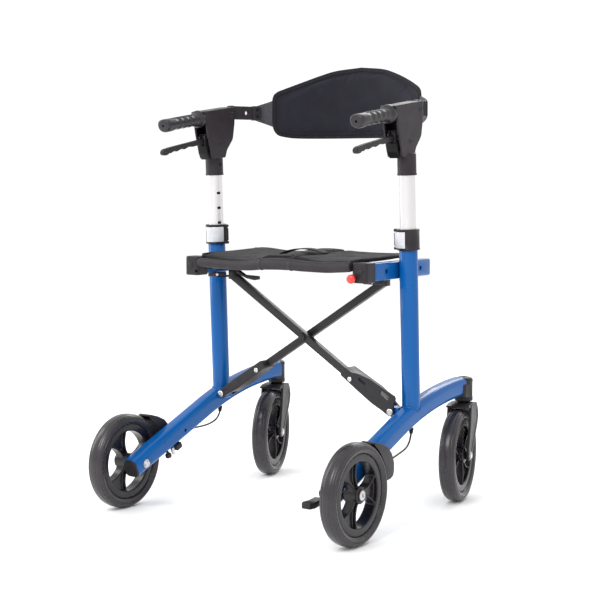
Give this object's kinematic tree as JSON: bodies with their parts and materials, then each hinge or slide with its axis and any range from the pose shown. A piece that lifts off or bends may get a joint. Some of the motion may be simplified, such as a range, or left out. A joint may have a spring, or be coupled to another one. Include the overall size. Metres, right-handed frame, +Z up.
{
  "type": "rollator walker",
  "caption": "Wheeled walking frame with push handles, hand brakes, a sling seat, a curved backrest strap and a scissor frame that folds sideways.",
  "frame": {"origin": "on the floor, below the middle of the overall box", "axes": "+Z up, +Y forward in the walking direction, +X to the user's right"},
  "size_m": [0.6206, 0.6592, 0.949],
  "materials": {
    "paint": "blue gloss paint",
    "plastic": "dark grey moulded plastic",
    "anodised": "satin anodised",
    "steel": "zinc plated",
    "clamp_plate": "silver grey",
    "black_paint": "satin black powder coat",
    "tyre": "soft polyurethane",
    "rim": "black moulded plastic",
    "fabric": "black woven polyester",
    "edge_roll": "grey foam sleeve",
    "red": "red gloss",
    "cap_disc": "silver disc",
    "cable": "black cable jacket"
  },
  "bodies": {
    "frame_left": {"lower_tube_left": "paint", "upright_post_left": "paint", "seat_rail_left": "paint", "rail_cap_left": "plastic", "caster_head_left": "plastic", "clamp_collar_left": "plastic", "rear_axle_left": "steel", "brake_cover_left": "plastic", "brake_cable_left": "cable"},
    "handle_left": {"height_tube_left": "anodised", "handle_housing_left": "plastic", "hand_grip_left": "plastic", "backrest_bracket_left": "plastic", "backrest_pad": "fabric"},
    "brake_lever_left": {"brake_lever_left": "plastic"},
    "brake_shoe_left": {"brake_shoe_left": "plastic"},
    "clamp_lever_left": {"clamp_lever_left": "clamp_plate"},
    "caster_left": {"caster_fork_left": "plastic", "front_axle_left": "steel"},
    "front_wheel_left": {"front_tyre_left": "tyre", "front_rim_left": "rim"},
    "rear_wheel_left": {"rear_tyre_left": "tyre", "rear_rim_left": "rim", "rear_hub_cap_left": "cap_disc"},
    "frame_right": {"lower_tube_right": "paint", "upright_post_right": "paint", "seat_rail_right": "paint", "rail_cap_right": "plastic", "caster_head_right": "plastic", "clamp_collar_right": "plastic", "rear_axle_right": "steel", "brake_cover_right": "plastic", "brake_cable_right": "cable", "tip_pedal": "plastic"},
    "handle_right": {"height_tube_right": "anodised", "handle_housing_right": "plastic", "hand_grip_right": "plastic", "backrest_bracket_right": "plastic"},
    "brake_lever_right": {"brake_lever_right": "plastic"},
    "brake_shoe_right": {"brake_shoe_right": "plastic"},
    "clamp_lever_right": {"clamp_lever_right": "clamp_plate"},
    "caster_right": {"caster_fork_right": "plastic", "front_axle_right": "steel"},
    "front_wheel_right": {"front_tyre_right": "tyre", "front_rim_right": "rim"},
    "rear_wheel_right": {"rear_tyre_right": "tyre", "rear_rim_right": "rim", "rear_hub_cap_right": "cap_disc"},
    "bar_b": {"cross_bar_b": "black_paint", "seat_tube_right": "black_paint", "cross_bolt": "steel", "hinge_pin_left": "steel"},
    "bar_a": {"cross_bar_a": "black_paint", "seat_tube_left": "black_paint", "hinge_pin_right": "steel"},
    "seat": {"seat_sling": "fabric", "seat_edge_roll": "edge_roll", "seat_strap": "fabric"},
    "lock_knob": {"fold_lock_knob": "red"}
  },
  "joints": [
    {"name": "fold", "type": "hinge", "parent": "frame_left", "child": "bar_b", "pos_m": [-0.221, 0.032, 0.2187], "axis": [0, -1, 0], "range_deg": [0, 44], "deforming": ["seat_sling", "seat_edge_roll", "seat_strap", "backrest_pad"]},
    {"name": "bar_scissor", "type": "hinge", "parent": "bar_b", "child": "bar_a", "pos_m": [0, 0.032, 0.361], "axis": [0, -1, 0], "range_deg": [-88.1, 0]},
    {"name": "right_frame_level", "type": "hinge", "parent": "bar_a", "child": "frame_right", "pos_m": [0.221, 0.032, 0.2187], "axis": [0, -1, 0], "range_deg": [0, 44.1]},
    {"name": "seat_level", "type": "hinge", "parent": "bar_b", "child": "seat", "pos_m": [0.19, 0.032, 0.512], "axis": [0, -1, 0], "range_deg": [-44.1, 0]},
    {"name": "handle_height_left", "type": "slide", "parent": "frame_left", "child": "handle_left", "axis": [0, -0.0451, 0.999], "range_m": [-0.1, 0.06]},
    {"name": "brake_squeeze_left", "type": "hinge", "parent": "handle_left", "child": "brake_lever_left", "pos_m": [-0.243, -0.008, 0.782], "axis": [-1, 0, 0], "range_deg": [0, 12], "stiffness_Nm_per_rad": 1.5},
    {"name": "brake_shoe_press_left", "type": "hinge", "parent": "frame_left", "child": "brake_shoe_left", "pos_m": [-0.285, -0.156, 0.179], "axis": [-1, 0, 0], "range_deg": [0, 2.81]},
    {"name": "clamp_open_left", "type": "hinge", "parent": "frame_left", "child": "clamp_lever_left", "pos_m": [-0.2203, 0.03635, 0.57542], "axis": [0, -0.0451, 0.999], "range_deg": [0, 80]},
    {"name": "caster_swivel_left", "type": "hinge", "parent": "frame_left", "child": "caster_left", "pos_m": [-0.253, 0.2725, 0.23], "axis": [0, 0, 1], "continuous": true},
    {"name": "front_wheel_spin_left", "type": "hinge", "parent": "caster_left", "child": "front_wheel_left", "pos_m": [-0.2391, 0.23023, 0.1], "axis": [0.95, 0.3123, 0], "continuous": true},
    {"name": "rear_wheel_spin_left", "type": "hinge", "parent": "frame_left", "child": "rear_wheel_left", "pos_m": [-0.2905, -0.231, 0.1], "axis": [1, 0, 0], "continuous": true},
    {"name": "handle_height_right", "type": "slide", "parent": "frame_right", "child": "handle_right", "axis": [0, -0.0451, 0.999], "range_m": [-0.1, 0.06]},
    {"name": "brake_squeeze_right", "type": "hinge", "parent": "handle_right", "child": "brake_lever_right", "pos_m": [0.243, -0.008, 0.782], "axis": [-1, 0, 0], "range_deg": [0, 12], "stiffness_Nm_per_rad": 1.5},
    {"name": "brake_shoe_press_right", "type": "hinge", "parent": "frame_right", "child": "brake_shoe_right", "pos_m": [0.285, -0.156, 0.179], "axis": [-1, 0, 0], "range_deg": [0, 2.81]},
    {"name": "clamp_open_right", "type": "hinge", "parent": "frame_right", "child": "clamp_lever_right", "pos_m": [0.2203, 0.03635, 0.57542], "axis": [0, 0.0451, -0.999], "range_deg": [0, 80]},
    {"name": "caster_swivel_right", "type": "hinge", "parent": "frame_right", "child": "caster_right", "pos_m": [0.253, 0.2725, 0.23], "axis": [0, 0, 1], "continuous": true},
    {"name": "front_wheel_spin_right", "type": "hinge", "parent": "caster_right", "child": "front_wheel_right", "pos_m": [0.26331, 0.22921, 0.1], "axis": [0.9728, 0.2317, 0], "continuous": true},
    {"name": "rear_wheel_spin_right", "type": "hinge", "parent": "frame_right", "child": "rear_wheel_right", "pos_m": [0.2905, -0.231, 0.1], "axis": [1, 0, 0], "continuous": true},
    {"name": "lock_knob_pull", "type": "slide", "parent": "frame_right", "child": "lock_knob", "axis": [0, -1, 0], "range_m": [0, 0.006], "stiffness_N_per_m": 500}
  ],
  "couplings": [
    {"joint": "bar_scissor", "follows": "fold", "ratio": -2},
    {"joint": "right_frame_level", "follows": "fold", "ratio": 1},
    {"joint": "seat_level", "follows": "fold", "ratio": -1},
    {"joint": "handle_height_right", "follows": "handle_height_left", "ratio": 1},
    {"joint": "brake_shoe_press_left", "follows": "brake_squeeze_left", "ratio": 0.2333},
    {"joint": "brake_shoe_press_right", "follows": "brake_squeeze_right", "ratio": 0.2333}
  ]
}
